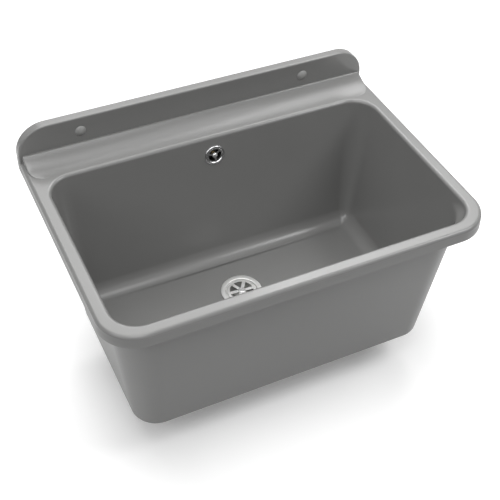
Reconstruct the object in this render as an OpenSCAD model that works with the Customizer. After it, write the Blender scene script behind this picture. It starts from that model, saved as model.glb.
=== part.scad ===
// Wall-hung mop service sink, moulded in grey polypropylene.
// Origin: on the wall face, in the middle of the rim's width, at the height of the wall screw holes.
// X runs to the right seen from the front, Y into the wall, Z up.

/* [Rim] */
// Width over the rim
rim_w = 600; // [540:5:680]
// Depth from the wall to the front of the rim
rim_d = 420; // [390:5:480]
// Drop of the down-turned skirt
skirt_drop = 21; // [16:1:28]
// Width of the rim beside and in front of the opening
rim_band = 22; // [19:0.5:30]
// Radius of the front corners of the rim
rim_corner_r = 57; // [48:1:80]
// Radius of the outer edge of the rim top
rim_edge_r = 5; // [3:0.5:6]
// Radius of the lip where the rim turns into the bowl
lip_r = 5; // [3:0.5:6]

/* [Bowl] */
// Depth of the shelf between the opening and the wall
shelf_d = 70; // [62:1:85]
// Radius of the corners of the opening
opening_corner_r = 40; // [34:1:46]
// Radius of the bowl's front corners, just below the lip
front_corner_r = 62; // [50:1:70]
// Radius that the corners lose on the way down, in mm per mm of depth
corner_lean = 0.095; // [0.06:0.005:0.11]
// Depth of the bowl at the drain, below the rim top
bowl_depth = 243.5; // [210:0.5:270]
// Fall of the floor from the walls to the drain
floor_fall = 3; // [1:0.5:5]
// Radius between the walls and the floor
floor_fillet_r = 8; // [6:0.5:14]
// Lean of the side walls, in mm per mm of depth
side_lean = 0.114; // [0.07:0.002:0.13]
// Lean of the front wall, in mm per mm of depth
front_lean = 0.117; // [0.07:0.001:0.13]
// Lean of the back wall, in mm per mm of depth
back_lean = 0.114; // [0.07:0.002:0.13]
// Wall thickness of the moulding
wall_t = 3.6; // [3:0.1:4.5]
// Height of the foot rim under the floor
foot_h = 23; // [16:0.5:26]
// Thickness of the foot rim
foot_w = 7.5; // [7:0.5:12]
// Outer radius of the bottom edge
bottom_r = 6; // [3:0.5:6.5]
// Thickness of the stiffening ribs
rib_t = 3; // [2.5:0.5:4]

/* [Upstand] */
// Height of the upstand above the rim top
upstand_h = 57; // [50:1:80]
// Thickness of the upstand
upstand_t = 14.5; // [14:0.5:20]
// Radius of the top corners of the upstand
upstand_corner_r = 48; // [30:1:50]
// Radius of the front edge of the upstand
upstand_edge_r = 2.4; // [1:0.2:3]
// Height of the hollow cove at the foot of the upstand
cove_h = 11.5; // [8:0.5:14]
// Width of the ledge between the cove and the upstand
ledge_w = 3.4; // [2:0.2:5]
// Radius of the front corners of the cove, seen from above
cove_end_r = 25; // [18:1:40]
// Gap left between the cove and the side of the rim
cove_side_gap = 5; // [5:0.5:14]

/* [Wall holes and caps] */
// Distance between the two wall holes
hole_spacing = 385; // [300:5:450]
// Distance of the holes' midpoint to the left of the rim's middle
hole_shift = 7; // [0:0.5:10]
// Height of the wall holes above the rim top
hole_rise = 32; // [26:1:38]
// Diameter of the wall holes
hole_d = 8.5; // [7:0.5:10]
// Diameter of the recess for the screw head
recess_d = 14.6; // [13:0.2:16]
// Depth of the recess for the screw head
recess_depth = 8; // [6:0.5:9]
// Outer diameter of the cover cap
cap_d = 17.6; // [17:0.2:20]
// Height of the domed cap
cap_h = 3.4; // [2:0.2:5]
// Length of the cap's plug in the recess
cap_plug_len = 4; // [3:0.5:5]
// Wall of the cap's plug
cap_plug_wall = 1.4; // [1:0.1:2]
// Radial clearance of the cap's plug in the recess
cap_clear = 0.3; // [0.2:0.05:0.4]

/* [Drain] */
// Distance of the drain centre from the wall
drain_from_wall = 187; // [160:1:230]
// Outer diameter of the strainer flange
strainer_d = 70; // [64:0.5:76]
// Width of the ledge in the floor that carries the strainer flange
seat_w = 5; // [4:0.5:7]
// Thickness of the strainer sheet
strainer_t = 1.5; // [1:0.1:2]
// Gap between the strainer's dish and the hole in the floor
dish_gap = 1.5; // [1:0.1:3]
// Drop from the strainer flange to its perforated disc
disc_drop = 0.4; // [0:0.1:1.2]
// Drop from the strainer flange to the bottom of the groove round the disc
groove_depth = 3.4; // [2.5:0.1:5]
// Width of the groove at its bottom
groove_w = 1.5; // [1.2:0.1:2.5]
// Number of openings in the strainer
strainer_openings = 6; // [4:2:8]
// Turn of the strainer's first spoke from the right-hand side
strainer_turn = 55; // [0:5:60]
// Width of the hub left round the screw head
hub_margin = 0.8; // [0.6:0.1:3]
// Width of the solid ring outside the strainer openings
opening_margin = 4.2; // [3:0.1:6]
// Width of the strainer's spokes
spoke_w = 5.4; // [3:0.2:6]
// Thickness of the seal under the strainer flange
upper_seal_t = 1.2; // [0.8:0.1:2]
// Thickness of the seal under the floor
lower_seal_t = 2; // [1.5:0.1:3]
// Height of the boss under the floor at the drain
drain_boss_h = 4; // [3:0.5:6]

/* [Waste] */
// Width of the waste's clamping flange outside the hole
clamp_w = 5; // [4:0.5:8]
// Thickness of the clamping flange
waste_flange_t = 4; // [3:0.5:6]
// Wall thickness of the waste fitting
waste_wall = 3; // [2.5:0.1:4]
// Depth of the waste's cup below its flange
cup_depth = 48; // [46:1:60]
// Height of the cone between the cup and the tail
cone_h = 10; // [8:1:20]
// Outer diameter of the threaded tail
tail_d = 47.8; // [40:0.2:50]
// Length of the threaded tail
tail_len = 32; // [25:1:60]
// Diameter of the central hub in the cup
hub_d = 18; // [16:0.5:22]
// Height of the central hub
hub_h = 16; // [12:1:20]
// Thickness of the three arms that carry the hub
arm_t = 3; // [2:0.5:5]

/* [Screws and inserts] */
// Shank diameter of the strainer screw
screw_d = 6; // [5:0.5:6]
// Head diameter of the strainer screw
screw_head_d = 12; // [10:0.5:14]
// Head height of the strainer screw
screw_head_h = 2; // [1.5:0.5:4]
// Shank diameter of the overflow screw
small_screw_d = 4; // [3:0.5:4]
// Head diameter of the overflow screw
small_head_d = 7.6; // [7:0.2:8]
// Head height of the overflow screw
small_head_h = 2; // [1.5:0.1:2.5]
// Wall of the brass inserts
insert_wall = 1.6; // [1.2:0.1:2]
// Radial gap between a shank and its insert
thread_gap = 0.05; // [0.03:0.01:0.08]
// Gap between curved faces that don't clamp
gap = 0.3; // [0.2:0.05:0.35]

/* [Overflow] */
// Depth of the overflow centre below the rim top
overflow_depth = 35; // [32:1:60]
// Diameter of the overflow rosette
rosette_d = 34; // [32:0.5:40]
// Thickness of the rosette at its rim
rosette_t = 2.2; // [1.5:0.1:3]
// Depth of the rosette's recessed middle
rosette_recess = 1.2; // [0.8:0.1:1.6]
// Diameter of the hole in the back wall
overflow_hole_d = 26; // [24:0.5:27]
// Width of the rosette's three arms
rosette_arm_w = 3.2; // [2.5:0.1:4]
// Turn of the rosette's lower arm from the right-hand side
rosette_turn = 80; // [30:5:150]
// Thickness of the seal behind the back wall
overflow_seal_t = 2; // [1.5:0.1:3]
// Diameter of the elbow's flange
elbow_flange_d = 38; // [36:0.5:42]
// Thickness of the elbow's flange
elbow_flange_t = 3; // [2.5:0.5:4]
// Distance from the back wall to the pipe centre
pipe_stand_off = 31; // [31:0.5:36]
// Outer diameter of the overflow pipe
pipe_d = 25; // [22:0.5:25]
// Wall thickness of the overflow pipe
pipe_wall = 2; // [1.5:0.1:2.5]
// Bend radius of the overflow pipe
pipe_bend_r = 30; // [26:1:36]
// Depth of the pipe in its sockets
socket_depth = 12; // [10:0.5:15]
// Wall of the sockets
socket_wall = 3; // [2.5:0.1:3.5]
// Outer diameter of the coupling nuts
nut_d = 42; // [41:0.5:46]
// Height of the coupling nuts
nut_h = 17; // [16:0.5:22]
// Thickness of the closed end of the nuts
nut_end_t = 3; // [2.5:0.5:4]
// Number of grip grooves round a nut
nut_grips = 16; // [8:1:24]
// Height of the cone seals
cone_seal_h = 6; // [5:0.5:8]

/* [Hidden] */

$fn = 96;
// Steps in each quarter corner of the lofted moulding
corner_steps = 8;
// Steps in each quarter round of its edges
edge_steps = 4;
// Overlap that joins solids without a shared face
bite = 1;

half_w = rim_w / 2;
// Height of the rim top, the plane from which the bowl is measured
rim_z = -hole_rise;
opening_half_w = half_w - rim_band;
opening_front_y = -rim_d + rim_band;
opening_back_y = -shelf_d;
floor_edge_depth = bowl_depth - floor_fall;
// Depth of the lowest edge, under the foot rim
outer_depth = bowl_depth + wall_t + foot_h;
back_angle = atan(back_lean);

// Drain stack, from the top down
drain_hole_d = strainer_d - 2 * seat_w;
dish_d = drain_hole_d - 2 * dish_gap;
waste_flange_d = drain_hole_d + 2 * clamp_w;
// Height by which the strainer flange stands above the floor
flange_proud = 0.3;
// Width of the level floor round the strainer
pad_margin = 8;
// Width of the boss outside the waste flange
boss_margin = 3;
// Step from the hole in the floor in to the bore of the cup
cup_step = 2;
// Space between the strainer and the hub of the waste
hub_drop = 6;
// Depth of the insert below the top of the hub
insert_drop = 1;
// Solid part of the hub below the insert
insert_floor = 3;
seat_depth = upper_seal_t + strainer_t;
seat_z = rim_z - bowl_depth + flange_proud - seat_depth;
boss_bottom_z = rim_z - bowl_depth - wall_t - drain_boss_h;
boss_d = waste_flange_d + 2 * boss_margin;
waste_top_z = boss_bottom_z - lower_seal_t;
flange_top_z = seat_z + seat_depth;
disc_top_z = flange_top_z - disc_drop;
disc_bottom_z = disc_top_z - strainer_t;
groove_z = flange_top_z - groove_depth;
cup_bore_d = drain_hole_d - 2 * cup_step;
cup_d = cup_bore_d + 2 * waste_wall;
cup_bottom_z = waste_top_z - cup_depth;
tail_top_z = cup_bottom_z - cone_h;
tail_bottom_z = tail_top_z - tail_len;
hub_top_z = disc_bottom_z - hub_drop;
insert_top_z = hub_top_z - insert_drop;
insert_len = hub_h - insert_drop - insert_floor;

// Pipe joints
// Reach of the side inlet beyond the cup
inlet_reach = 26;
// Distance from the bend of the elbow down to its mouth
elbow_drop = 34;
spigot_bore_d = pipe_d + 2 * gap;
spigot_d = spigot_bore_d + 2 * socket_wall;
nut_bore_d = spigot_d + 2 * gap;
nut_mouth_d = pipe_d + 2 * gap;
spigot_in_nut = nut_h - nut_end_t - cone_seal_h;
inlet_z = cup_bottom_z + spigot_d / 2;
inlet_face_y = -drain_from_wall + cup_d / 2 + inlet_reach;

// Overflow, on the leaning back wall
overflow_z = rim_z - overflow_depth;
overflow_wall_y = opening_back_y - back_lean * overflow_depth;
pipe_y = overflow_wall_y + wall_t + pipe_stand_off;
// Height at which the elbow's leaning branch meets the pipe's centre line
elbow_z = overflow_z - back_lean * (wall_t + pipe_stand_off);
elbow_face_z = elbow_z - elbow_drop;
// How far the elbow's knee bulges beyond its branches
knee_bulge = 0.4;
// Space in front of the elbow's hub, and the length of its insert
elbow_hub_drop = 1;
small_insert_len = 9;
elbow_hub_start = wall_t + overflow_seal_t + elbow_hub_drop;

// Slots of the screw heads
slot_w = 1.1;
slot_depth = 0.9;

// ---------- Outlines and lofts ----------

// Quarter circle of points round [cx, cy], from angle a0
function corner(cx, cy, r, a0) = [
  for (k = [0:corner_steps])
    let (a = a0 + 90 * k / corner_steps)
      [cx + r * cos(a), cy + r * sin(a)]
];

// Rounded rectangle seen from above: front corners rf, back corners rb
function outline(hx, yf, yb, rf, rb) = concat(
  corner(-hx + rf, yf + rf, rf, 180),
  corner(hx - rf, yf + rf, rf, 270),
  corner(hx - rb, yb - rb, rb, 0),
  corner(-hx + rb, yb - rb, rb, 90)
);

// One ring of the moulding at height z
function ring(hx, yf, yb, rf, rb, z) = [for (p = outline(hx, yf, yb, rf, rb)) [p[0], p[1], z]];

// Depth at which the front corners have widened from the opening's radius to their own
widen_depth = 24;
least_corner_r = 2;

// Radius of a corner that starts as r0, at a depth and 'out' mm outside the inner wall
function corner_r(r0, depth, out) = max(r0 - corner_lean * depth + out, least_corner_r);

// Ring round the bowl: 'out' mm outside its inner wall, at a depth below the rim top
function bowl_ring(depth, out) = ring(
  opening_half_w - side_lean * depth + out,
  opening_front_y + front_lean * depth - out,
  opening_back_y - back_lean * depth + out,
  corner_r(depth < widen_depth ? opening_corner_r : front_corner_r, depth, out),
  corner_r(opening_corner_r, depth, out),
  rim_z - depth
);

// Gap between the moulding's back edge and the wall, and the radius and least radius of its back corners
back_inset = 1;
back_corner_r = 6;
back_corner_min_r = 0.6;

// Ring round the rim, 'inset' mm inside its outer face
function rim_ring(inset, depth) = ring(
  half_w - inset,
  -rim_d + inset,
  -back_inset - inset,
  rim_corner_r - inset,
  max(back_corner_r - inset, back_corner_min_r),
  rim_z - depth
);

// Closed solid through a list of rings with equal numbers of points
module loft(rings) {
  n = len(rings[0]);
  last = len(rings) - 1;
  points = [for (r = rings) for (p = r) p];
  sides = [
    for (i = [0:last - 1])
      for (j = [0:n - 1])
        let (k = (j + 1) % n)
          each [
            [i * n + j, (i + 1) * n + j, (i + 1) * n + k],
            [i * n + j, (i + 1) * n + k, i * n + k]
          ]
  ];
  first_cap = [for (j = [0:n - 1]) j];
  last_cap = [for (j = [n - 1:-1:0]) last * n + j];
  polyhedron(points = points, faces = concat([first_cap], sides, [last_cap]), convexity = 8);
}

// ---------- Basin ----------

// Lean of the skirt's outer face over its height, and how much thinner its foot is
skirt_draft = 0.6;
skirt_taper = 0.4;

// Skin of the moulding, followed from under the floor, up the outside,
// over the skirt and the rim, and down the inside to the drain
module bowl_shell() {
  foot_in = wall_t - foot_w;
  edge_out = wall_t - bottom_r;
  quarter = [for (k = [1:edge_steps]) 90 * k / edge_steps];
  drain_pad_r = strainer_d / 2 + pad_margin;
  rings = concat(
    [bowl_ring(outer_depth - foot_h, foot_in)],
    [bowl_ring(outer_depth, foot_in)],
    [bowl_ring(outer_depth, edge_out)],
    [for (a = quarter) bowl_ring(outer_depth - bottom_r * (1 - cos(a)), edge_out + bottom_r * sin(a))],
    [bowl_ring(widen_depth, wall_t)],
    [bowl_ring(wall_t, wall_t)],
    [rim_ring(wall_t + skirt_draft, wall_t)],
    [rim_ring(wall_t - skirt_taper, skirt_drop)],
    [rim_ring(0, skirt_drop)],
    [rim_ring(skirt_draft, rim_edge_r)],
    [for (a = quarter)
      rim_ring(skirt_draft + rim_edge_r * (1 - cos(a)), rim_edge_r * (1 - sin(a)))],
    [for (a = concat([0], quarter)) bowl_ring(lip_r * (1 - cos(a)), lip_r * (1 - sin(a)))],
    [bowl_ring(widen_depth, 0)],
    [bowl_ring(floor_edge_depth - floor_fillet_r, 0)],
    [for (a = quarter)
      bowl_ring(floor_edge_depth - floor_fillet_r * (1 - sin(a)), -floor_fillet_r * (1 - cos(a)))],
    [ring(drain_pad_r, -drain_from_wall - drain_pad_r, -drain_from_wall + drain_pad_r,
      drain_pad_r, drain_pad_r, rim_z - bowl_depth)]
  );
  loft(rings);
}

// Arch of the upstand in the X-Z plane: flat foot, rounded top corners
module arch(inset, foot_z) {
  r = upstand_corner_r - inset;
  top_z = rim_z + upstand_h - inset;
  half = half_w - inset;
  intersection() {
    translate([-half, foot_z]) square([2 * half, top_z - foot_z]);
    union() {
      translate([-half, foot_z - r]) square([2 * half, top_z - foot_z]);
      translate([-half + r, foot_z]) square([2 * (half - r), top_z - foot_z]);
      for (side = [-1, 1])
        translate([side * (half - r), top_z - r]) circle(r = r);
    }
  }
}

// Extrudes an X-Z outline from y = from towards the wall
module upright(from, depth) {
  translate([0, from + depth, 0]) rotate([90, 0, 0]) linear_extrude(height = depth) children();
}

// Extrudes a Y-Z outline along X, centred
module along_x(length) {
  translate([-length / 2, 0, 0]) rotate([90, 0, 90]) linear_extrude(height = length) children();
}

// Foot of the flat back skin, just above the foot of the skirt
flange_foot_z = rim_z - skirt_drop + 0.5;

// Upstand, with its rounded front edge cut in steps
module upstand() {
  steps = 3;
  foot_step = 0.1;
  for (k = [1:steps]) {
    a = 90 * k / steps;
    inset = upstand_edge_r * (1 - sin(a));
    front = -upstand_t + upstand_edge_r * (1 - cos(a));
    upright(front, -front) arch(inset, flange_foot_z + foot_step * (steps - k));
  }
}

// Ends, run and radius of the cove, and the rise of its ledge
cove_front_y = opening_back_y + lip_r;
cove_back_y = -upstand_t - ledge_w;
cove_run = cove_back_y - cove_front_y;
cove_r = (cove_run * cove_run + cove_h * cove_h) / (2 * cove_h);
cove_steps = 8;
ledge_rise = 0.8;

// Cove profile in Y-Z, lowered by 'drop' to give its underside
function cove_curve(drop) = [
  for (k = [0:cove_steps])
    let (y = cove_run * k / cove_steps)
      [cove_front_y + y, rim_z - drop + cove_r - sqrt(cove_r * cove_r - y * y)]
];

// Cove between the shelf and the upstand, with rounded front corners
module cove() {
  end_x = half_w - cove_side_gap;
  intersection() {
    along_x(2 * end_x)
      polygon(concat(
        [[cove_front_y, rim_z - wall_t / 2]],
        cove_curve(0),
        [[cove_back_y + ledge_w / 3, rim_z + cove_h + ledge_rise],
          [-upstand_t + bite, rim_z + cove_h + ledge_rise],
          [-upstand_t + bite, rim_z - wall_t / 2]]
      ));
    translate([0, 0, rim_z - skirt_drop])
      linear_extrude(height = skirt_drop + upstand_h)
        union() {
          translate([-end_x + cove_end_r, cove_front_y - bite])
            square([2 * (end_x - cove_end_r), cove_run + ledge_w + 2 * bite]);
          translate([-end_x, cove_front_y + cove_end_r])
            square([2 * end_x, cove_run + ledge_w + bite - cove_end_r]);
          for (side = [-1, 1])
            translate([side * (end_x - cove_end_r), cove_front_y + cove_end_r])
              circle(r = cove_end_r);
        }
  }
}

// Hollow inside the upstand and under the cove, open below
module upstand_hollow() {
  cavity = upstand_t - 2 * wall_t;
  inner_half_w = half_w - wall_t;
  upright(-upstand_t + wall_t, cavity) arch(wall_t, flange_foot_z - bite);
  upright(-upstand_t - bite, cavity + wall_t + bite)
    translate([-inner_half_w, flange_foot_z - bite])
      square([2 * inner_half_w, rim_z - wall_t - flange_foot_z + bite]);
  along_x(2 * (half_w - cove_side_gap - cove_end_r))
    polygon(concat(
      [[cove_front_y, rim_z - wall_t - bite]],
      cove_curve(wall_t),
      [[-upstand_t + wall_t + bite, rim_z + cove_h - wall_t],
        [-upstand_t + wall_t + bite, rim_z - wall_t - bite]]
    ));
}

// Ribs: numbers in front and at each side, and how far their lower edges stay above the skirt's foot
front_ribs = 5;
side_ribs = 3;
rib_rise = 5;
rib_drop = skirt_drop - rib_rise;
// Overlap of the ribs into the skin above them
rib_bite = 0.6;

// Rib from the skirt's face at x = 0 in to a bowl wall with the given lean
module rim_rib(lean) {
  translate([wall_t - bite, -rib_t / 2, rim_z - rib_drop])
    cube([rim_band - 2 * wall_t + 2 * bite + lean * rib_drop, rib_t, rib_drop - wall_t + rib_bite]);
}

// Ribs between the bowl and the skirt
module rim_ribs() {
  first_x = -half_w + rim_corner_r;
  pitch = 2 * (half_w - rim_corner_r) / (front_ribs - 1);
  for (i = [0:front_ribs - 1])
    translate([first_x + i * pitch, -rim_d, 0]) rotate(90) rim_rib(front_lean);
  first_y = -rim_d + rim_corner_r;
  side_pitch = (rim_d - rim_corner_r - shelf_d) / side_ribs;
  for (turn = [0, 1])
    mirror([turn, 0, 0])
      for (i = [0:side_ribs - 1])
        translate([-half_w, first_y + (i + 0.3) * side_pitch, 0]) rim_rib(side_lean);
}

// Distances of the shelf ribs from the middle: inner pair, and outer pair from the rim's end
inner_shelf_rib_x = 110;
outer_shelf_rib_inset = 60;

// Ribs across the shelf, up into the upstand
module shelf_ribs() {
  for (side = [-1, 1])
    for (x = [inner_shelf_rib_x, half_w - outer_shelf_rib_inset])
      translate([side * x, 0, 0])
        along_x(rib_t)
          polygon([
            [opening_back_y + wall_t / 2, rim_z - rib_drop],
            [-wall_t / 2, rim_z - rib_drop],
            [-wall_t / 2, rim_z + cove_h],
            [-upstand_t + wall_t / 2, rim_z + cove_h],
            [cove_front_y + cove_run / 2, rim_z - wall_t / 2],
            [opening_back_y + wall_t / 2, rim_z - wall_t / 2]
          ]);
}

// Height of the floor ribs' lower edges above the foot
floor_rib_rise = 12;

// Ribs under the floor, from the drain boss to the foot rim
module floor_ribs() {
  z = rim_z - outer_depth + floor_rib_rise;
  h = foot_h - floor_rib_rise + bite;
  start = boss_d / 2 - bite;
  side_len = opening_half_w - side_lean * outer_depth - bottom_r - start;
  front_y = opening_front_y + front_lean * outer_depth + bottom_r;
  for (turn = [0, 1])
    mirror([turn, 0, 0])
      translate([start, -drain_from_wall - rib_t / 2, z]) cube([side_len, rib_t, h]);
  translate([-rib_t / 2, front_y, z]) cube([rib_t, -drain_from_wall - start - front_y, h]);
}

// Places its children at the left (-1) or right (1) wall hole
module at_wall_hole(side) {
  translate([side * hole_spacing / 2 - hole_shift, 0, 0]) children();
}

// Places its children at both wall holes
module at_wall_holes() {
  for (side = [-1, 1])
    at_wall_hole(side) children();
}

// Cylinder along Y from y = from towards the wall
module rod_y(d, from, length) {
  translate([0, from + length, 0]) rotate([90, 0, 0]) cylinder(h = length, d = d);
}

// Places its children on the leaning back wall: their +Z points out of the back of the wall
module on_back_wall(behind) {
  translate([0, overflow_wall_y, overflow_z])
    rotate([-90 - back_angle, 0, 0])
      translate([0, 0, behind])
        children();
}

// One-piece moulding: bowl, rim with skirt, cove, hollow upstand, ribs and bosses
module basin() {
  color([0.53, 0.53, 0.52])
    difference() {
      union() {
        difference() {
          union() {
            bowl_shell();
            upstand();
            cove();
          }
          upstand_hollow();
        }
        rim_ribs();
        shelf_ribs();
        floor_ribs();
        at_wall_holes() rod_y(recess_d + 2 * wall_t, -upstand_t + wall_t / 2, upstand_t - wall_t);
        translate([0, -drain_from_wall, boss_bottom_z])
          cylinder(h = drain_boss_h + wall_t / 2, d = boss_d);
      }
      at_wall_holes() {
        rod_y(hole_d, -upstand_t - bite, upstand_t + 2 * bite);
        rod_y(recess_d, -upstand_t - bite, recess_depth + bite);
      }
      translate([0, -drain_from_wall, boss_bottom_z - bite])
        cylinder(h = drain_boss_h + wall_t + 3 * bite, d = drain_hole_d);
      translate([0, -drain_from_wall, seat_z])
        cylinder(h = seat_depth + bite, d = strainer_d + 2 * gap);
      on_back_wall(-bite) cylinder(h = wall_t + 3 * bite, d = overflow_hole_d);
    }
}

// ---------- Cover caps ----------

// Domed cap with a hollow plug; the dome faces away from the wall
module cap() {
  plug_r = recess_d / 2 - cap_clear;
  dome_r = (cap_d * cap_d / 4 + cap_h * cap_h) / (2 * cap_h);
  difference() {
    union() {
      intersection() {
        translate([0, 0, cap_h - dome_r]) sphere(r = dome_r);
        cylinder(h = cap_h, d = cap_d);
      }
      translate([0, 0, -cap_plug_len]) cylinder(h = cap_plug_len + bite / 2, r = plug_r);
    }
    translate([0, 0, -cap_plug_len - bite])
      cylinder(h = cap_plug_len + bite, r = plug_r - cap_plug_wall);
  }
}

// Cap pressed on the front of the upstand, on one side
module seated_cap(side) {
  color([0.60, 0.60, 0.59])
    at_wall_hole(side) translate([0, -upstand_t, 0]) rotate([90, 0, 0]) cap();
}

module left_cap() {
  seated_cap(-1);
}

module right_cap() {
  seated_cap(1);
}

// ---------- Strainer and waste ----------

// Places its children on the drain's axis
module at_drain(z) {
  translate([0, -drain_from_wall, z]) children();
}

// Rounding of the flange's edge, and the run of the groove's sloping walls
flange_edge = 0.5;
groove_slope = 0.5;

// Pressed sheet: flat flange, a groove, and a disc with pie-shaped openings
module strainer() {
  groove_out_r = dish_d / 2 - strainer_t - groove_slope;
  groove_in_r = groove_out_r - groove_w;
  disc_r = groove_in_r - groove_slope;
  opening_out_r = disc_r - opening_margin;
  color([0.82, 0.83, 0.84])
    at_drain(0)
      difference() {
        rotate_extrude()
          polygon([
            [0, disc_bottom_z],
            [disc_r - strainer_t, disc_bottom_z],
            [groove_in_r - strainer_t, groove_z - strainer_t],
            [dish_d / 2, groove_z - strainer_t],
            [dish_d / 2, flange_top_z - strainer_t],
            [strainer_d / 2 - flange_edge, flange_top_z - strainer_t],
            [strainer_d / 2, flange_top_z - strainer_t / 2],
            [strainer_d / 2 - flange_edge, flange_top_z],
            [dish_d / 2 - strainer_t, flange_top_z],
            [groove_out_r, groove_z],
            [groove_in_r, groove_z],
            [disc_r, disc_top_z],
            [0, disc_top_z]
          ]);
        translate([0, 0, disc_bottom_z - bite])
          linear_extrude(height = strainer_t + 2 * bite)
            difference() {
              circle(r = opening_out_r);
              circle(r = screw_head_d / 2 + hub_margin);
              for (k = [0:strainer_openings / 2 - 1])
                rotate(strainer_turn + 360 * k / strainer_openings)
                  square([2 * (opening_out_r + bite), spoke_w], center = true);
            }
        translate([0, 0, disc_bottom_z - bite])
          cylinder(h = strainer_t + 2 * bite, d = screw_d + 2 * gap);
      }
}

// Slotted screw that clamps the strainer down to the waste
module strainer_screw() {
  shank_len = disc_top_z - insert_top_z + insert_len - bite;
  color([0.86, 0.86, 0.87])
    at_drain(disc_top_z)
      difference() {
        union() {
          cylinder(h = screw_head_h / 2, d = screw_head_d);
          translate([0, 0, screw_head_h / 2])
            cylinder(h = screw_head_h / 2, d1 = screw_head_d, d2 = 0.75 * screw_head_d);
          translate([0, 0, -shank_len]) cylinder(h = shank_len + bite, d = screw_d);
        }
        translate([-screw_head_d, -slot_w / 2, screw_head_h - slot_depth])
          cube([2 * screw_head_d, slot_w, slot_depth + bite]);
      }
}

// Flat ring standing on z = 0
module flat_ring(outer_d, inner_d, h) {
  difference() {
    cylinder(h = h, d = outer_d);
    translate([0, 0, -bite]) cylinder(h = h + 2 * bite, d = inner_d);
  }
}

// Seals above and below the floor, a little narrower than the flanges that press them
seal_inset = 0.5;
module strainer_seal() {
  color([0.12, 0.12, 0.12])
    at_drain(seat_z) flat_ring(strainer_d - 2 * seal_inset, drain_hole_d, upper_seal_t);
}

module waste_seal() {
  color([0.14, 0.14, 0.14])
    at_drain(boss_bottom_z - lower_seal_t)
      flat_ring(waste_flange_d - 2 * seal_inset, drain_hole_d, lower_seal_t);
}

// Waste: clamping flange, cup, cone, threaded tail, side inlet and the hub on three arms
module waste_body() {
  tail_bore_d = tail_d - 2 * waste_wall;
  arm_bottom_z = hub_top_z - hub_h;
  arm_drop = 3;
  inlet_len = inlet_face_y + drain_from_wall;
  pipe_stop = inlet_len - socket_depth;
  color([0.93, 0.93, 0.92])
    at_drain(0)
      union() {
        difference() {
          union() {
            translate([0, 0, waste_top_z - waste_flange_t])
              cylinder(h = waste_flange_t, d = waste_flange_d);
            translate([0, 0, cup_bottom_z]) cylinder(h = cup_depth, d = cup_d);
            translate([0, 0, tail_top_z]) cylinder(h = cone_h, d1 = tail_d, d2 = cup_d);
            translate([0, 0, tail_bottom_z]) cylinder(h = tail_len, d = tail_d);
            translate([0, 0, inlet_z]) rotate([-90, 0, 0]) cylinder(h = inlet_len, d = spigot_d);
          }
          translate([0, 0, cup_bottom_z]) cylinder(h = cup_depth + bite, d = cup_bore_d);
          translate([0, 0, tail_top_z])
            cylinder(h = cone_h + bite / 100, d1 = tail_bore_d, d2 = cup_bore_d);
          translate([0, 0, tail_bottom_z - bite]) cylinder(h = tail_len + 2 * bite, d = tail_bore_d);
          translate([0, 0, inlet_z]) rotate([-90, 0, 0]) {
            cylinder(h = inlet_len + bite, d = pipe_d - 2 * pipe_wall);
            translate([0, 0, pipe_stop]) cylinder(h = socket_depth + bite, d = spigot_bore_d);
          }
        }
        difference() {
          union() {
            translate([0, 0, arm_bottom_z]) cylinder(h = hub_h, d = hub_d);
            for (k = [0:2])
              rotate(30 + 120 * k)
                translate([0, -arm_t / 2, arm_bottom_z])
                  cube([cup_bore_d / 2 + bite, arm_t, hub_h - arm_drop]);
          }
          translate([0, 0, insert_top_z - insert_len])
            cylinder(h = insert_len + 2 * bite, d = screw_d + 2 * insert_wall + 2 * thread_gap);
          translate([0, 0, arm_bottom_z - bite])
            cylinder(h = hub_h + 2 * bite, d = screw_d + 2 * gap);
        }
      }
}

// Threaded insert in the hub
module waste_insert() {
  color([0.80, 0.65, 0.30])
    at_drain(insert_top_z - insert_len)
      flat_ring(screw_d + 2 * insert_wall, screw_d + 2 * thread_gap, insert_len);
}

// ---------- Overflow ----------

// Width and chamfer of the rosette's bezel, and the widths left outside and inside its openings
bezel_w = 4;
bezel_chamfer = 1.2;
rosette_ring_w = 2;
rosette_hub_w = 1;

// Round cover with a raised bezel and three openings
module overflow_rosette() {
  arm_reach = overflow_hole_d / 2 - rosette_ring_w;
  color([0.85, 0.86, 0.87])
    on_back_wall(-rosette_t)
      difference() {
        union() {
          translate([0, 0, rosette_t / 2]) cylinder(h = rosette_t / 2, d = rosette_d);
          cylinder(h = rosette_t / 2, d1 = rosette_d - 2 * bezel_chamfer, d2 = rosette_d);
        }
        translate([0, 0, -bite]) cylinder(h = rosette_recess + bite, d = rosette_d - 2 * bezel_w);
        translate([0, 0, -bite])
          linear_extrude(height = rosette_t + 2 * bite)
            difference() {
              circle(r = arm_reach);
              circle(d = small_head_d + 2 * rosette_hub_w);
              for (k = [0:2])
                rotate(rosette_turn + 120 * k)
                  translate([0, -rosette_arm_w / 2]) square([arm_reach + bite, rosette_arm_w]);
            }
        translate([0, 0, -bite])
          cylinder(h = rosette_t + 2 * bite, d = small_screw_d + 2 * gap);
      }
}

// Slotted screw that clamps the rosette to the elbow
module overflow_screw() {
  head_seat = -rosette_t + rosette_recess;
  shank_len = elbow_hub_start + small_insert_len - bite - head_seat;
  color([0.86, 0.86, 0.87])
    on_back_wall(head_seat)
      difference() {
        union() {
          translate([0, 0, -small_head_h / 2]) cylinder(h = small_head_h / 2, d = small_head_d);
          translate([0, 0, -small_head_h])
            cylinder(h = small_head_h / 2, d1 = 0.75 * small_head_d, d2 = small_head_d);
          translate([0, 0, -bite / 2]) cylinder(h = shank_len + bite / 2, d = small_screw_d);
        }
        translate([-small_head_d, -slot_w / 2, -small_head_h - bite])
          cube([2 * small_head_d, slot_w, slot_depth + bite]);
      }
}

// Seal between the back wall and the elbow
module overflow_seal() {
  color([0.13, 0.13, 0.13])
    on_back_wall(wall_t) flat_ring(elbow_flange_d - 2 * seal_inset, overflow_hole_d, overflow_seal_t);
}

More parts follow.
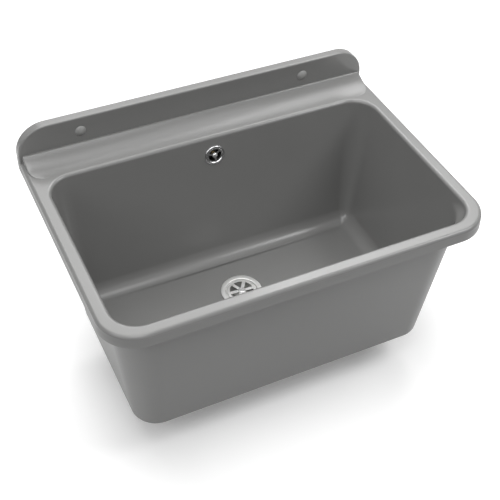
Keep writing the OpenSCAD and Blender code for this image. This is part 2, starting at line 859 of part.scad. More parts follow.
// Elbow behind the back wall: flange, body turning down, and a hub on three arms for the insert
module overflow_elbow() {
  body_d = overflow_hole_d + 2 * socket_wall;
  start = wall_t + overflow_seal_t;
  reach = (wall_t + pipe_stand_off) / cos(back_angle) - start;
  small_insert_d = small_screw_d + 2 * insert_wall;
  color([0.17, 0.17, 0.17])
    difference() {
      union() {
        on_back_wall(start) {
          cylinder(h = elbow_flange_t, d = elbow_flange_d);
          cylinder(h = reach, d = body_d);
        }
        translate([0, pipe_y, elbow_z]) sphere(d = body_d + 2 * knee_bulge);
        translate([0, pipe_y, elbow_face_z]) cylinder(h = elbow_drop, d = spigot_d);
      }
      difference() {
        union() {
          on_back_wall(start - bite) cylinder(h = reach, d = overflow_hole_d);
          translate([0, pipe_y, elbow_z]) sphere(d = overflow_hole_d + 2 * knee_bulge);
        }
        on_back_wall(elbow_hub_start) {
          cylinder(h = small_insert_len + socket_wall, d = small_insert_d + 2 * socket_wall);
          for (k = [0:2])
            rotate(rosette_turn + 60 + 120 * k)
              translate([0, -arm_t / 2, 0]) cube([body_d / 2, arm_t, small_insert_len]);
        }
      }
      translate([0, pipe_y, elbow_face_z - bite])
        cylinder(h = elbow_drop, d = pipe_d - 2 * pipe_wall);
      translate([0, pipe_y, elbow_face_z - bite])
        cylinder(h = socket_depth + bite, d = spigot_bore_d);
      on_back_wall(elbow_hub_start - bite)
        cylinder(h = small_insert_len + bite, d = small_insert_d + 2 * thread_gap);
    }
}

// Threaded insert in the elbow's hub
module overflow_insert() {
  color([0.80, 0.65, 0.30])
    on_back_wall(elbow_hub_start)
      flat_ring(small_screw_d + 2 * insert_wall, small_screw_d + 2 * thread_gap, small_insert_len);
}

// Solid rod along the pipe's centre line, drawn wider for the tube and narrower for its bore
module pipe_run(d, extra) {
  top_z = elbow_face_z + socket_depth;
  bend_z = inlet_z + pipe_bend_r;
  end_y = inlet_face_y - socket_depth;
  bend_y = pipe_y - pipe_bend_r;
  translate([0, pipe_y, bend_z]) cylinder(h = top_z - bend_z + extra, d = d);
  translate([0, bend_y, bend_z])
    rotate([0, 90, 0])
      rotate_extrude(angle = 90) translate([pipe_bend_r, 0]) circle(d = d);
  translate([0, end_y - extra, inlet_z])
    rotate([-90, 0, 0])
      cylinder(h = bend_y - end_y + extra, d = d);
}

// Rigid pipe from the elbow down and forwards into the waste's inlet
module overflow_pipe() {
  color([0.17, 0.17, 0.17])
    difference() {
      pipe_run(pipe_d, 0);
      pipe_run(pipe_d - 2 * pipe_wall, bite);
    }
}

// Diameter of the nuts' grip grooves, and how far their centres lie outside the nut
grip_d = 3.4;
grip_out = 0.9;

// Coupling nut: z = 0 is its open end, the closed end lies at nut_h
module coupling_nut() {
  difference() {
    cylinder(h = nut_h, d = nut_d);
    translate([0, 0, -bite]) cylinder(h = nut_h - nut_end_t + bite, d = nut_bore_d);
    translate([0, 0, -bite]) cylinder(h = nut_h + 2 * bite, d = nut_mouth_d);
    for (k = [0:nut_grips - 1])
      rotate(360 * k / nut_grips)
        translate([nut_d / 2 + grip_out, 0, -bite])
          cylinder(h = nut_h - nut_end_t + bite, d = grip_d, $fn = 24);
  }
}

// Cone seal: z = 0 is its wide end, against the inside of the nut's closed end
module cone_seal() {
  top = cone_seal_h - gap;
  nose_w = gap + 1;
  rotate_extrude()
    polygon([
      [pipe_d / 2 + gap / 2, 0],
      [spigot_d / 2, 0],
      [spigot_d / 2, cone_seal_h / 3],
      [pipe_d / 2 + nose_w, top],
      [pipe_d / 2 + gap / 2, top]
    ]);
}

// Nut and seal at the mouth of the elbow
module elbow_nut() {
  color([0.22, 0.22, 0.22])
    translate([0, pipe_y, elbow_face_z + spigot_in_nut]) rotate([180, 0, 0]) coupling_nut();
}

module elbow_cone_seal() {
  color([0.15, 0.15, 0.15])
    translate([0, pipe_y, elbow_face_z - cone_seal_h]) cone_seal();
}

// Nut and seal at the waste's side inlet
module inlet_nut() {
  color([0.22, 0.22, 0.22])
    translate([0, inlet_face_y - spigot_in_nut, inlet_z]) rotate([-90, 0, 0]) coupling_nut();
}

module inlet_cone_seal() {
  color([0.15, 0.15, 0.15])
    translate([0, inlet_face_y + cone_seal_h, inlet_z]) rotate([90, 0, 0]) cone_seal();
}

basin();
left_cap();
right_cap();
strainer();
strainer_screw();
strainer_seal();
waste_body();
waste_seal();
waste_insert();
overflow_rosette();
overflow_screw();
overflow_seal();
overflow_elbow();
overflow_insert();
overflow_pipe();
elbow_nut();
elbow_cone_seal();
inlet_nut();
inlet_cone_seal();
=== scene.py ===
# %% [markdown]
# # A wall-hung mop sink
# The real sink is one deep moulding in grey polypropylene: a tapered bowl, a rim with a turned-down skirt,
# a hollow upstand against the wall and a cove between the two. A steel strainer, a chrome overflow rosette
# and two screw covers are fitted to it, and a white waste and a black overflow pipe hang behind and below.
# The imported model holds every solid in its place. This lesson gives those solids their finishes, and
# draws again, with finer rounds, the ones whose curves show in the light.
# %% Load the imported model
import math
import bmesh
import bpy
import numpy as np
from mathutils import Matrix


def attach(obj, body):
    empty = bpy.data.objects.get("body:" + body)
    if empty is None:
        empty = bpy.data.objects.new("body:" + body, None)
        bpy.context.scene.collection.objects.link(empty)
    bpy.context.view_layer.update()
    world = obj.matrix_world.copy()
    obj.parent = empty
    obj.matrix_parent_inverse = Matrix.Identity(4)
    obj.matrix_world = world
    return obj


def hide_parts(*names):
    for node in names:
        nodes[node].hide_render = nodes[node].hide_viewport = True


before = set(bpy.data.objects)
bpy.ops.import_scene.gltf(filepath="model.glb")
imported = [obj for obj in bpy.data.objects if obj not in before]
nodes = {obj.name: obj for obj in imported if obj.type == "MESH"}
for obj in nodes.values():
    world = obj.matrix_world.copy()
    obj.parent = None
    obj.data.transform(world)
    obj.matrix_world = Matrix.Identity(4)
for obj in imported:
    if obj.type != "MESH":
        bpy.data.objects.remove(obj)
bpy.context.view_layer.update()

# %% [markdown]
# ## The camera
# A camera is placed by three directions and an eye point. The photograph looks down on the sink from the
# front left, at 44 degrees, and leans by two degrees. The columns of a camera's matrix are its right, its
# up and the way back to the viewer, so these are worked out first and written straight into the matrix.
# %% Camera
MM = 0.001
RIM_Z = -32.0
WALL_TO_FRONT = 420.0
SENSOR_MM, FRAME_PX = 36, 500


def place_camera(azimuth, elevation, roll, distance, shift_right, shift_up, focal_px):
    """Back = (sin a cos e, -cos a cos e, sin e). Right is level, then right and up turn together by the
    roll. The eye stands on back * distance, moved sideways so that the rim's front is beside the middle."""
    a, e, r = np.radians([azimuth, elevation, roll])
    back = np.array([math.sin(a) * math.cos(e), -math.cos(a) * math.cos(e), math.sin(e)])
    level = np.cross([0, 0, 1], back)
    level /= np.linalg.norm(level)
    upright = np.cross(back, level)
    right = level * math.cos(r) + upright * math.sin(r)
    up = upright * math.cos(r) - level * math.sin(r)
    eye = back * distance + (up * shift_up - right * shift_right) * distance / focal_px
    eye += [0, -WALL_TO_FRONT, RIM_Z]
    data = bpy.data.cameras.new("camera")
    data.sensor_width = SENSOR_MM
    data.lens = focal_px * SENSOR_MM / FRAME_PX
    data.clip_start, data.clip_end = 0.05, 50
    camera = bpy.data.objects.new("camera", data)
    matrix = np.eye(4)
    matrix[:3, 0], matrix[:3, 1], matrix[:3, 2], matrix[:3, 3] = right, up, back, eye * MM
    camera.matrix_world = Matrix(matrix.tolist())
    bpy.context.scene.collection.objects.link(camera)
    bpy.context.scene.camera = camera
    return camera


camera = place_camera(azimuth=-26.76, elevation=44.06, roll=2.05, distance=1324.24,
                      shift_right=67.33, shift_up=30.38, focal_px=971.42)
print("camera at", [round(c, 3) for c in camera.matrix_world.translation])
print("lens:", round(camera.data.lens, 1), "mm")

# %% [markdown]
# ## Rings, and solids made of rings
# Almost every shape here is a stack of closed rings: a moulding is a ring that grows and shrinks along a
# path, a rod is a circle carried along a line. Numpy works out all rings as one array, ring by ring and
# point by point, and one helper turns such an array into a closed mesh. Its points stay in millimetres
# until the mesh is made, because that is how the sink's sizes read best.
# %% Rounded rings
CORNER_STEPS = 20
SIDE_PARTS = np.array([0.015, 0.06, 0.2, 0.4, 0.6, 0.8, 0.94, 0.985])


def rounded_rings(half_w, front, back, r_front, r_back, z):
    """Rounded rectangles. A corner point is its centre + r (cos a, sin a), with a running over 90 degrees;
    the straight sides are mixed from their two ends. Every argument may be an array, one value a ring."""
    hw, f, b, rf, rb, z = np.broadcast_arrays(*[np.atleast_1d(np.asarray(v, float))
                                                for v in (half_w, front, back, r_front, r_back, z)])
    cx = np.stack([-hw + rf, hw - rf, hw - rb, -hw + rb], 1)
    cy = np.stack([f + rf, f + rf, b - rb, b - rb], 1)
    r = np.stack([rf, rf, rb, rb], 1)[..., None]
    a = np.radians(np.array([180, 270, 0, 90])[:, None] + np.linspace(0, 90, CORNER_STEPS + 1))
    arcs = np.stack([cx[..., None] + r * np.cos(a), cy[..., None] + r * np.sin(a)], -1)
    here, there = arcs[:, :, -1:, :], np.roll(arcs, -1, 1)[:, :, :1, :]
    t = SIDE_PARTS[:, None]
    sides = here * (1 - t) + there * t
    flat = np.concatenate([arcs, sides], 2).reshape(len(z), -1, 2)
    return np.concatenate([flat, np.broadcast_to(z[:, None, None], flat.shape[:2] + (1,))], 2)


def quarter(steps):
    """Angles from 0 to 90 degrees, in radians, both ends included."""
    return np.radians(np.linspace(0, 90, steps + 1))


print("points in each ring:", rounded_rings(1, -1, 1, 0.5, 0.5, 0).shape[1])

# %% [markdown]
# A solid needs closed ends and faces that look outwards, and a moulding with a hollow, a hole or a boss is
# made as its mould makes it: one solid is added to another or cut out of it. So there are two more helpers,
# one that closes a stack of rings and one that combines two solids for good.
# %% Solids, and adding or cutting them
MERGE_DISTANCE = 1e-6


def solid(name, rings, loop=False):
    """Joins ring i to ring i + 1 by four-sided faces. The two ends get one flat face each, or, with loop,
    the last ring is joined to the first. Doubles are merged, and a solid whose signed volume comes out
    negative has all its faces turned over, so that they look outwards."""
    m, n, _ = rings.shape
    i, j = np.meshgrid(np.arange(m if loop else m - 1), np.arange(n), indexing="ij")
    i2, j2 = (i + 1) % m, (j + 1) % n
    faces = np.stack([i * n + j, i * n + j2, i2 * n + j2, i2 * n + j], -1).reshape(-1, 4).tolist()
    if not loop:
        faces += [np.arange(n)[::-1].tolist(), ((m - 1) * n + np.arange(n)).tolist()]
    mesh = bpy.data.meshes.new(name)
    mesh.from_pydata((rings.reshape(-1, 3) * MM).tolist(), [], faces)
    clean = bmesh.new()
    clean.from_mesh(mesh)
    bmesh.ops.remove_doubles(clean, verts=clean.verts, dist=MERGE_DISTANCE)
    bmesh.ops.recalc_face_normals(clean, faces=clean.faces)
    if clean.calc_volume(signed=True) < 0:
        bmesh.ops.reverse_faces(clean, faces=clean.faces)
    clean.to_mesh(mesh)
    clean.free()
    piece = bpy.data.objects.new(name, mesh)
    bpy.context.scene.collection.objects.link(piece)
    return piece


def combine(target, tool, how):
    """Adds ('UNION') or cuts away ('DIFFERENCE') the tool, and keeps the outcome as target's own mesh."""
    step = target.modifiers.new("combine", "BOOLEAN")
    step.operation, step.solver, step.object = how, "EXACT", tool
    graph = bpy.context.evaluated_depsgraph_get()
    outcome = bpy.data.meshes.new_from_object(target.evaluated_get(graph))
    target.modifiers.remove(step)
    old, target.data = target.data, outcome
    spent = tool.data
    bpy.data.objects.remove(tool)
    bpy.data.meshes.remove(spent)
    bpy.data.meshes.remove(old)


print("points closer than", MERGE_DISTANCE, "m are merged")

# %% [markdown]
# ## The bowl and its rim, as one skin
# A moulded sink is a sheet of even thickness, so its surface can be followed with one finger: from the
# drain's edge along the underside, down and round the foot, up the outside, over the skirt and the rim,
# over the lip, down the inside and across the floor back to the drain. That is a path of rings, and the
# path closes on itself. Each wall leans by about 0.115 mm in every mm of depth, and the corners get
# tighter on the way down, as they do on any part that has to leave its mould.
# %% Sizes and rings of the moulding
RIM_W, BAND, SHELF, WALL, SKIRT = 600.0, 22.0, 70.0, 3.6, 21.0
BOWL_DEPTH, FLOOR_FALL, FLOOR_R, FOOT_H, FOOT_W, BOTTOM_R = 243.5, 3.0, 22.0, 23.0, 7.5, 6.0
SIDE_LEAN, FRONT_LEAN, BACK_LEAN, CORNER_LEAN = 0.114, 0.117, 0.114, 0.095
OPENING_R, FRONT_R, WIDEN, LIP_R, EDGE_R = 40.0, 62.0, 24.0, 5.0, 5.0
RIM_CORNER_R, RIM_BACK_R, RIM_BACK_Y = 57.0, 6.0, -1.0
DRAIN_Y, SEAT_R, SEAT_DEPTH, HOLE_R = -187.0, 35.3, 2.1, 30.0
PAD_R, PAD_Z, UNDER_Z = 38.0, -283.1, -279.1
OUTER_DEPTH = BOWL_DEPTH + WALL + FOOT_H


def bowl_rings(depth, out):
    """Rings of the bowl: 'out' mm outside the inner wall at a depth below the rim. The front corners widen
    from the opening's radius to their own by a smooth step 3 t^2 - 2 t^3 over the first 24 mm."""
    depth, out = np.broadcast_arrays(np.asarray(depth, float), np.asarray(out, float))
    t = np.clip((depth - 4) / (WIDEN - 4), 0, 1)
    front_r = OPENING_R + (FRONT_R - OPENING_R) * t * t * (3 - 2 * t)
    return rounded_rings(RIM_W / 2 - BAND - SIDE_LEAN * depth + out,
                         -WALL_TO_FRONT + BAND + FRONT_LEAN * depth - out,
                         -SHELF - BACK_LEAN * depth + out,
                         np.maximum(front_r - CORNER_LEAN * depth + out, 2),
                         np.maximum(OPENING_R - CORNER_LEAN * depth + out, 2),
                         RIM_Z - depth)


def rim_rings(inset, depth):
    """Rings of the rim's outer face, 'inset' mm inside it."""
    inset, depth = np.broadcast_arrays(np.asarray(inset, float), np.asarray(depth, float))
    return rounded_rings(RIM_W / 2 - inset, -WALL_TO_FRONT + inset, RIM_BACK_Y - inset,
                         RIM_CORNER_R - inset, np.maximum(RIM_BACK_R - inset, 0.6), RIM_Z - depth)


def drain_rings(radius, z):
    """Circles round the drain, as rounded rectangles that are all corner."""
    radius = np.asarray(radius, float)
    return rounded_rings(radius, DRAIN_Y - radius, DRAIN_Y + radius, radius, radius, z)


print("outer depth of the bowl with its foot:", OUTER_DEPTH, "mm")

# %% [markdown]
# The path itself is a list of ring groups in the order in which the finger meets them. Rings lie close
# together where the section turns and far apart where it is straight. The floor's fillet is the widest
# round of the bowl, because it is the one that a mop has to reach.
# %% The path of the moulding
q, q18 = quarter(10), quarter(18)
floor_edge = BOWL_DEPTH - FLOOR_FALL
foot_in, edge_out = WALL - FOOT_W, WALL - BOTTOM_R
floor_z = RIM_Z - BOWL_DEPTH
outside_depths = [262, 258, 200, 130, 70, 40, 30, 24, 20, 16, 12, 8, WALL]
inside_depths = [5.6, 7, 9, 11, 13, 15, 17, 19, 21, 24, 27, 34, 60, 110, 160, 200, 214]
path = np.concatenate([
    # the pad round the drain, seen from below
    drain_rings([HOLE_R, PAD_R - 0.6, PAD_R, PAD_R, PAD_R + 0.6],
                [PAD_Z, PAD_Z, PAD_Z + 0.6, UNDER_Z - 0.5, UNDER_Z]),
    # down the inner face of the foot and round its outer edge
    bowl_rings([OUTER_DEPTH - FOOT_H, OUTER_DEPTH - FOOT_H + 1, OUTER_DEPTH - 1, OUTER_DEPTH],
               foot_in + np.array([-1, 0, 0, 1])),
    bowl_rings(OUTER_DEPTH - BOTTOM_R * (1 - np.cos(q)), edge_out + BOTTOM_R * np.sin(q)),
    # up the outside, and out under the rim
    bowl_rings(outside_depths, WALL),
    rim_rings([WALL + 0.6], WALL),
    # down the skirt's inner face, round its lower edge and up its outer face
    rim_rings([WALL - 0.4, WALL - 1, 0.6, 0.1, 0], [SKIRT - 0.6, SKIRT, SKIRT, SKIRT - 0.3, SKIRT - 0.9]),
    rim_rings([0.3, 0.55], [12, 5.8]),
    # over the rim's outer round, across its level top, and over the lip
    rim_rings(0.6 + EDGE_R * (1 - np.cos(q)), EDGE_R * (1 - np.sin(q))),
    rim_rings([6.2], 0),
    bowl_rings([0], LIP_R + 0.6),
    bowl_rings(LIP_R * (1 - np.cos(q)), LIP_R * (1 - np.sin(q))),
    # down the inside, round the fillet and across the floor
    bowl_rings(inside_depths, 0),
    bowl_rings(floor_edge - FLOOR_R * (1 - np.sin(q18)), -FLOOR_R * (1 - np.cos(q18))),
    bowl_rings([floor_edge + 0.03], -FLOOR_R - 1),
    drain_rings([90, 55, 44, 42], floor_z + np.array([1.2, 0.3, 0.02, 0])),
    # down into the strainer's seat
    drain_rings([SEAT_R + 0.4, SEAT_R, SEAT_R, HOLE_R],
                floor_z + np.array([0, -0.4, -SEAT_DEPTH, -SEAT_DEPTH])),
])
moulding = solid("moulding", path, loop=True)
print("path:", path.shape, "faces:", len(moulding.data.polygons))

# %% [markdown]
# ## Upstand
# The upstand is the part that meets the wall. It is an arch with round shoulders, carried a short way along
# Y, with a small round on its front edge. It is made solid first and added to the skin; its hollow is cut
# later, together with the one behind the cove.
# %% Upstand
UPSTAND_H, UPSTAND_T, SHOULDER_R, FRONT_EDGE_R = 57.0, 14.5, 48.0, 2.4
FOOT_Z = RIM_Z - SKIRT + 0.5


def arch_rings(inset, y, foot_z=FOOT_Z):
    """Arches in the X-Z plane: two shoulders centre + r (cos a, sin a) over a quarter turn each, a level
    top and a level foot. Ring k lies 'inset' mm inside the outer arch, at its own y."""
    inset, y = np.broadcast_arrays(np.asarray(inset, float), np.asarray(y, float))
    r = SHOULDER_R - inset[:, None]
    a = quarter(32)
    cx, cz = RIM_W / 2 - SHOULDER_R, RIM_Z + UPSTAND_H - SHOULDER_R
    right = np.stack([cx + r * np.cos(a), cz + r * np.sin(a)], -1)
    top = np.linspace(0.98, -0.98, 9)[None, :, None] * np.array([cx, 0]) + np.stack(
        [0 * r, cz + r], -1)
    left = right[:, ::-1] * [-1, 1]
    half = RIM_W / 2 - inset[:, None, None]
    foot = np.concatenate([half * np.array([-1, 0]), half * np.array([1, 0])], 1) + [0, foot_z]
    flat = np.concatenate([right, top, left, foot], 1)
    depth = np.broadcast_to(y[:, None, None], flat.shape[:2] + (1,))
    return np.concatenate([flat[..., :1], depth, flat[..., 1:]], 2)


q6 = quarter(6)
upstand = solid("upstand", np.concatenate([
    arch_rings(FRONT_EDGE_R * (1 - np.sin(q6)), -UPSTAND_T + FRONT_EDGE_R * (1 - np.cos(q6))),
    arch_rings([0, 0, 0], [-11, -1, 0])]))
combine(moulding, upstand, "UNION")
print("with upstand:", len(moulding.data.polygons), "faces")

# %% [markdown]
# ## Cove
# The cove leads water from the upstand down to the opening. Its section is an arc that starts level at the
# lip and ends under a narrow level ledge, which shows as a bright line along the foot of the upstand. Seen
# from above its two front corners are round. It is a grid of y against x, because then the corner's round,
# the arc and the small rounds at its ends are each one formula.
# %% Cove
COVE_H, LEDGE, LEDGE_RISE, COVE_END_R, COVE_GAP, COVE_EDGE_R = 11.5, 3.4, 0.5, 25.0, 5.0, 2.0
cove_front, cove_back = -SHELF + LIP_R, -UPSTAND_T - LEDGE
run = cove_back - cove_front
cove_r = (run * run + COVE_H * COVE_H) / (2 * COVE_H)
end_x = RIM_W / 2 - COVE_GAP


def cove_top(y, drop=0.0):
    """Height of the cove: a circle of radius R that is level at the cove's front, R - sqrt(R^2 - y^2)."""
    d = np.clip(np.asarray(y, float) - cove_front, 0, run)
    return RIM_Z - drop + cove_r - np.sqrt(cove_r * cove_r - d * d)


def cove_grid():
    """Rings across the cove, one for each y. The half width follows the round of the front corner, and
    near each end the top falls away over a small round: r - sqrt(r^2 - (r - d)^2) at d from the end."""
    along = np.concatenate([[0, 0.012, 0.03, 0.06], np.linspace(0.1, 0.985, 30)])
    ledge = [cove_back, cove_back + 0.5, cove_back + 0.8, -UPSTAND_T + 1]
    y = np.concatenate([cove_front + run * along, ledge])
    top = cove_top(y) + LEDGE_RISE * np.clip((y - cove_back) / 0.5, 0, 1)
    short = np.maximum(cove_front + COVE_END_R - y, 0)
    half = end_x - COVE_END_R + np.sqrt(COVE_END_R ** 2 - short ** 2)
    r = np.minimum(COVE_EDGE_R, 0.9 * (top - RIM_Z) + 0.01)[:, None]
    edge_x, edge_z = half[:, None] - r * (1 - np.cos(q6)), top[:, None] - r * (1 - np.sin(q6))
    inner = np.linspace(0.97, -0.97, 13) * (half[:, None] - r)
    x = np.concatenate([half[:, None], edge_x, inner, -edge_x[:, ::-1], -half[:, None]], 1)
    level = np.broadcast_to(top[:, None], inner.shape)
    base = np.full((len(y), 1), RIM_Z - 1.8)
    z = np.concatenate([base, edge_z, level, edge_z[:, ::-1], base], 1)
    return np.stack([x, np.broadcast_to(y[:, None], x.shape), z], -1)


combine(moulding, solid("cove", cove_grid()), "UNION")
print("cove: radius", round(cove_r, 1), "mm over a run of", round(run, 1), "mm")

# %% [markdown]
# ## Hollows behind the upstand and the cove
# A moulding has no thick lumps, because they would sink in as they cool. So the upstand is hollow and open
# downwards, and the cove's underside runs one wall's thickness below its top. Both hollows are cut with
# solids that are a profile repeated along a line.
# %% Hollows
def bar(x, outline):
    """A Y-Z outline repeated at each x: two or more rings along X."""
    x, outline = np.asarray(x, float), np.asarray(outline, float)
    return np.stack([np.repeat(x[:, None], len(outline), 1),
                     np.tile(outline[:, 0], (len(x), 1)), np.tile(outline[:, 1], (len(x), 1))], -1)


hollow_half = RIM_W / 2 - WALL
hollow = arch_rings([WALL, WALL], [-UPSTAND_T + WALL, -WALL], FOOT_Z - 1)
combine(moulding, solid("hollow", hollow), "DIFFERENCE")
strip = [[-UPSTAND_T - 1, FOOT_Z - 1], [-WALL, FOOT_Z - 1], [-WALL, RIM_Z - WALL + 0.01],
         [-UPSTAND_T - 1, RIM_Z - WALL + 0.01]]
combine(moulding, solid("strip", bar([-hollow_half, hollow_half], strip)), "DIFFERENCE")
under_y = np.linspace(cove_front, cove_back, 13)
under = [[cove_front, RIM_Z - WALL - 1]] + np.stack([under_y, cove_top(under_y, WALL)], 1).tolist() + [
    [-UPSTAND_T + WALL + 1, RIM_Z + COVE_H - WALL], [-UPSTAND_T + WALL + 1, RIM_Z - WALL - 1]]
under_x = end_x - COVE_END_R
combine(moulding, solid("under_cove", bar([-under_x, under_x], under)), "DIFFERENCE")
print("with hollows:", len(moulding.data.polygons), "faces")

# %% [markdown]
# ## Ribs
# Thin ribs tie the skirt to the bowl, webs tie the upstand to it, and a cross of ribs stiffens the floor.
# They can only be seen from below. The ribs are plain boxes, made in one mesh from arrays of their lowest
# and highest corners, and the webs are bars whose outline follows the underside of shelf and upstand.
# %% Ribs and webs
RIB = 3.0
RIB_TOP, RIB_FOOT = -35, -48
SKIRT_Y, BOWL_Y = -417.4, -398.7
SKIRT_X, BOWL_X = 297.4, 278.7
CROSS_X, CROSS_Y, CROSS_START = 241.2, -360.4, 37
WEBS_X = (-240, -110, 110, 240)
SINK_IN = 1.8


def blocks(name, lows, highs):
    """Boxes between pairs of opposite corners: each corner takes the low or the high x, y and z."""
    lows, highs = np.asarray(lows, float), np.asarray(highs, float)
    pick = np.array([[0, 0, 0], [1, 0, 0], [1, 1, 0], [0, 1, 0],
                     [0, 0, 1], [1, 0, 1], [1, 1, 1], [0, 1, 1]])
    corners = lows[:, None] + pick * (highs - lows)[:, None]
    sides = np.array([[0, 3, 2, 1], [4, 5, 6, 7], [0, 1, 5, 4], [1, 2, 6, 5], [2, 3, 7, 6], [3, 0, 4, 7]])
    faces = (np.arange(len(lows))[:, None, None] * 8 + sides).reshape(-1, 4)
    mesh = bpy.data.meshes.new(name)
    mesh.from_pydata((corners.reshape(-1, 3) * MM).tolist(), [], faces.tolist())
    piece = bpy.data.objects.new(name, mesh)
    bpy.context.scene.collection.objects.link(piece)
    return piece


front_x = np.linspace(-1, 1, 5) * (RIM_W / 2 - RIM_CORNER_R)
side_y = -363 + (np.arange(3) + 0.3) * 97.67
floor_low, floor_high = RIM_Z - OUTER_DEPTH + 12, RIM_Z - OUTER_DEPTH + 24
lows = np.concatenate([
    np.stack([front_x - RIB / 2, front_x * 0 + SKIRT_Y, front_x * 0 + RIB_FOOT], 1),
    np.stack([side_y * 0 + BOWL_X, side_y - RIB / 2, side_y * 0 + RIB_FOOT], 1),
    np.stack([side_y * 0 - SKIRT_X, side_y - RIB / 2, side_y * 0 + RIB_FOOT], 1),
    [[CROSS_START, DRAIN_Y - RIB / 2, floor_low], [-CROSS_X, DRAIN_Y - RIB / 2, floor_low],
     [-RIB / 2, CROSS_Y, floor_low]]])
highs = np.concatenate([
    np.stack([front_x + RIB / 2, front_x * 0 + BOWL_Y, front_x * 0 + RIB_TOP], 1),
    np.stack([side_y * 0 + SKIRT_X, side_y + RIB / 2, side_y * 0 + RIB_TOP], 1),
    np.stack([side_y * 0 - BOWL_X, side_y + RIB / 2, side_y * 0 + RIB_TOP], 1),
    [[CROSS_X, DRAIN_Y + RIB / 2, floor_high], [-CROSS_START, DRAIN_Y + RIB / 2, floor_high],
     [RIB / 2, DRAIN_Y - CROSS_START, floor_high]]])
combine(moulding, blocks("ribs", lows, highs), "UNION")
web = [[-SHELF + SINK_IN, RIB_FOOT], [-SINK_IN, RIB_FOOT], [-SINK_IN, RIM_Z + COVE_H],
       [-UPSTAND_T + SINK_IN, RIM_Z + COVE_H], [cove_front + run / 2, RIM_Z - SINK_IN],
       [-SHELF + SINK_IN, RIM_Z - SINK_IN]]
for x in WEBS_X:
    combine(moulding, solid("web", bar([x - RIB / 2, x + RIB / 2], web)), "UNION")
print("ribs:", len(lows), "webs:", len(WEBS_X))

# %% [markdown]
# ## Bosses and holes
# Two screws hold the sink to the wall. Each passes through a hole with a recess for its head, and a boss
# carries the load from there to the wall. The overflow hole is square to the back wall, which leans, so its
# rod runs along the wall's own normal. Then the moulding is complete and takes the place of its solid.
# %% Bosses, holes and the finished moulding
HOLES_X = (-7 - 192.5, -7 + 192.5)
BOSS_R, RECESS_R, WALL_HOLE_R, OVERFLOW_HOLE_R = 10.9, 7.3, 4.25, 13.0
OVERFLOW_DEPTH = 35
LEAN = math.atan(BACK_LEAN)
OVERFLOW = np.array([0, -SHELF - BACK_LEAN * OVERFLOW_DEPTH, RIM_Z - OVERFLOW_DEPTH])
OVERFLOW_AXIS = np.array([0, math.cos(LEAN), -math.sin(LEAN)])
INTO_WALL = [0, 1, 0]


def rod(name, start, axis, length, radius, points=64):
    """A cylinder from the start along the axis: a circle square to the axis, at each of its two ends."""
    axis = np.asarray(axis, float)
    side = np.cross(axis, [1, 0, 0] if abs(axis[0]) < 0.9 else [0, 1, 0])
    side /= np.linalg.norm(side)
    other = np.cross(axis, side)
    t = np.arange(points) * 2 * math.pi / points
    circle = np.cos(t)[:, None] * side + np.sin(t)[:, None] * other
    ends = np.asarray(start, float) + np.array([[0.0], [length]]) * axis
    return solid(name, ends[:, None] + radius * circle)


for x in HOLES_X:
    combine(moulding, rod("boss", [x, -12.7, 0], INTO_WALL, 10.9, BOSS_R), "UNION")
    combine(moulding, rod("recess", [x, -16, 0], INTO_WALL, 9.5, RECESS_R), "DIFFERENCE")
    combine(moulding, rod("hole", [x, -8, 0], INTO_WALL, 9, WALL_HOLE_R), "DIFFERENCE")
overflow_hole = rod("overflow_hole", OVERFLOW - OVERFLOW_AXIS, OVERFLOW_AXIS, 7, OVERFLOW_HOLE_R)
combine(moulding, overflow_hole, "DIFFERENCE")
moulding.data.shade_smooth()
moulding.data.set_sharp_from_angle(angle=math.radians(32))
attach(moulding, "sink")
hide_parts("basin")
print("moulding:", len(moulding.data.vertices), "points,", len(moulding.data.polygons), "faces")

# %% [markdown]
# ## Turned sections and rounded openings
# The strainer and the rosette are both round covers with openings between spokes. A pressed sheet has no
# sharp corner, so a cover is a section with rounds, turned about an axis, and its openings are cut by
# wedges whose corners are rounded in the same way.
# %% Helpers for round covers
def section(*corners, steps=6):
    """A closed outline of radius and height. Each corner is (r, z, round): a round replaces the corner by
    a smooth curve (1-t)^2 a + 2 t (1-t) c + t^2 b between the points 'round' mm before and after it."""
    c = np.array([k[:2] for k in corners], float)
    size = np.array([k[2] for k in corners], float)[:, None]
    before, after = np.roll(c, 1, 0) - c, np.roll(c, -1, 0) - c
    a = c + before / np.linalg.norm(before, axis=1, keepdims=True) * size
    b = c + after / np.linalg.norm(after, axis=1, keepdims=True) * size
    t = np.linspace(0, 1, steps + 1)[None, :, None]
    return ((1 - t) ** 2 * a[:, None] + 2 * t * (1 - t) * c[:, None] + t * t * b[:, None]).reshape(-1, 2)


def turned(name, outline, centre, axis=(0, 0, 1), side=(1, 0, 0), points=128):
    """The outline (r, h) turned about an axis: centre + h axis + r (cos t side + sin t other)."""
    axis, side = np.asarray(axis, float), np.asarray(side, float)
    other = np.cross(axis, side)
    t = np.arange(points)[:, None] * 2 * math.pi / points
    out = (np.cos(t) * side + np.sin(t) * other)[:, None]
    rings = np.asarray(centre, float) + outline[None, :, 1:] * axis + outline[None, :, :1] * out
    return solid(name, rings, loop=True)


